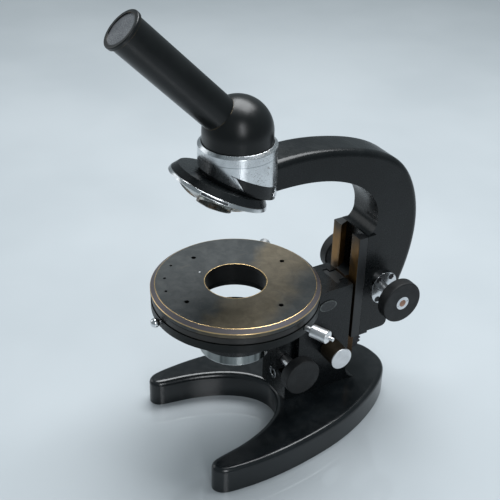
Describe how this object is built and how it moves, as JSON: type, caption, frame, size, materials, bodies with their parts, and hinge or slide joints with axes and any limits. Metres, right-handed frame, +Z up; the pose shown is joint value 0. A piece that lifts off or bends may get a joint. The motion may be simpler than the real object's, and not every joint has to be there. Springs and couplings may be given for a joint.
{
  "type": "microscope",
  "caption": "Monocular laboratory microscope: horseshoe foot, curved arm with rack focusing, inclined eyepiece tube, revolving nosepiece, round turning stage and sliding condenser sleeve.",
  "frame": {"origin": "point on the table where the optical axis through the stage hole meets it, under the foot's flat underside plane", "axes": "+Z up along the optical axis; -Y towards the viewer's side, the prongs and the eyepiece; +Y towards the arm; +X towards the side with the condenser knob"},
  "size_m": [0.1392, 0.2297, 0.3323],
  "materials": {
    "foot_enamel": "satin black enamel",
    "black_enamel": "satin black enamel",
    "black_knob": "matte",
    "stage_brass": "blackened, worn to bright brass at the edges",
    "brown_brass": "brown lacquer",
    "brown_barrel": "dark brown lacquer",
    "chrome": "polished, lightly pitted",
    "nickel": "satin nickel",
    "steel": "machined",
    "dark_screws": "blued",
    "lacquered_screws": "lacquered",
    "eyepiece_black": "satin",
    "lens_glass": "clear",
    "badge_plate": "satin, blank"
  },
  "bodies": {
    "stand": {"foot": "foot_enamel", "foot_bolts": "steel", "pillar": "black_enamel", "left_slide_guide": "black_enamel", "right_slide_guide": "black_enamel", "guide_screws": "dark_screws", "mirror_socket": "chrome", "badge": "badge_plate", "substage_rail": "brown_brass", "rail_screws": "dark_screws", "substage_rack": "steel", "stage_bracket": "black_enamel", "bracket_screws": "dark_screws", "stage_base": "black_enamel", "centring_ring": "black_enamel", "spring_plunger": "chrome"},
    "fine_slide": {"dovetail_bar": "brown_brass", "coarse_rack": "steel"},
    "arm": {"arm": "black_enamel", "left_rail": "brown_brass", "right_rail": "brown_brass", "near_flange": "chrome", "far_flange": "chrome", "flange_screws": "dark_screws", "collar": "chrome", "nosepiece_mount": "black_enamel", "click_spring": "nickel", "nosepiece_cover": "black_enamel", "nosepiece_pivot": "nickel"},
    "coarse_drive": {"coarse_shaft": "steel", "coarse_pinion": "steel", "near_coarse_knob": "black_knob", "far_coarse_knob": "black_knob", "knob_washers": "chrome", "knob_screws": "lacquered_screws"},
    "fine_drive": {"fine_shaft": "steel", "near_fine_knob": "brown_barrel", "far_fine_knob": "brown_barrel", "fine_knob_caps": "chrome"},
    "head": {"head_housing": "black_enamel", "eyepiece_tube": "black_enamel", "prism": "lens_glass", "prism_seat": "black_enamel"},
    "eyepiece": {"eyepiece_barrel": "eyepiece_black", "eyepiece_cap": "eyepiece_black", "eye_lens": "lens_glass", "field_lens": "lens_glass"},
    "nosepiece": {"revolver_ring": "nickel", "revolver_cone": "nickel"},
    "stage": {"stage_top": "stage_brass", "stage_rim": "black_enamel", "stage_pin": "chrome"},
    "right_centring_screw": {"centring_screw_right": "chrome"},
    "left_centring_screw": {"centring_screw_left": "chrome"},
    "substage": {"substage_slide": "black_enamel", "condenser_carrier": "black_enamel", "condenser_sleeve": "chrome"},
    "condenser_drive": {"condenser_shaft": "chrome", "condenser_pinion": "steel", "condenser_knob": "black_knob"}
  },
  "joints": [
    {"name": "fine_focus", "type": "slide", "parent": "stand", "child": "fine_slide", "axis": [0, 0, 1], "range_m": [-0.0006, 0.0006]},
    {"name": "coarse_focus", "type": "slide", "parent": "fine_slide", "child": "arm", "axis": [0, 0, 1], "range_m": [-0.024, 0.009]},
    {"name": "coarse_knob_turn", "type": "hinge", "parent": "arm", "child": "coarse_drive", "pos_m": [0, 0.1187, 0.0998], "axis": [1, 0, 0], "range_deg": [-173, 66]},
    {"name": "fine_knob_turn", "type": "hinge", "parent": "stand", "child": "fine_drive", "pos_m": [0, 0.0718, 0.0606], "axis": [1, 0, 0], "range_deg": [-90.1, 90.1]},
    {"name": "head_turn", "type": "hinge", "parent": "arm", "child": "head", "pos_m": [0, 0, 0.24], "axis": [0, 0, 1], "continuous": true},
    {"name": "eyepiece_draw", "type": "slide", "parent": "head", "child": "eyepiece", "axis": [-0.0568, -0.6967, 0.7151], "range_m": [0, 0.02]},
    {"name": "nosepiece_turn", "type": "hinge", "parent": "arm", "child": "nosepiece", "pos_m": [0, -0.0134, 0.21135], "axis": [0, 0.4384, 0.8988], "continuous": true},
    {"name": "stage_turn", "type": "hinge", "parent": "stand", "child": "stage", "pos_m": [0, 0, 0.125], "axis": [0, 0, 1], "continuous": true},
    {"name": "substage_focus", "type": "slide", "parent": "stand", "child": "substage", "axis": [0, 0, 1], "range_m": [-0.004, 0.009]},
    {"name": "condenser_knob_turn", "type": "hinge", "parent": "substage", "child": "condenser_drive", "pos_m": [0, 0.0367, 0.0577], "axis": [1, 0, 0], "range_deg": [-108, 48]},
    {"name": "right_screw_turn", "type": "hinge", "parent": "stand", "child": "right_centring_screw", "pos_m": [0.05481, 0.0244, 0.1189], "axis": [0.9135, 0.4067, 0], "range_deg": [-360, 360]},
    {"name": "left_screw_turn", "type": "hinge", "parent": "stand", "child": "left_centring_screw", "pos_m": [-0.04168, 0.04316, 0.1189], "axis": [-0.6947, 0.7193, 0], "range_deg": [-360, 360]}
  ],
  "couplings": [
    {"joint": "coarse_knob_turn", "follows": "coarse_focus", "rad_per_m": 125},
    {"joint": "fine_knob_turn", "follows": "fine_focus", "rad_per_m": 2618},
    {"joint": "condenser_knob_turn", "follows": "substage_focus", "rad_per_m": -208.33}
  ]
}
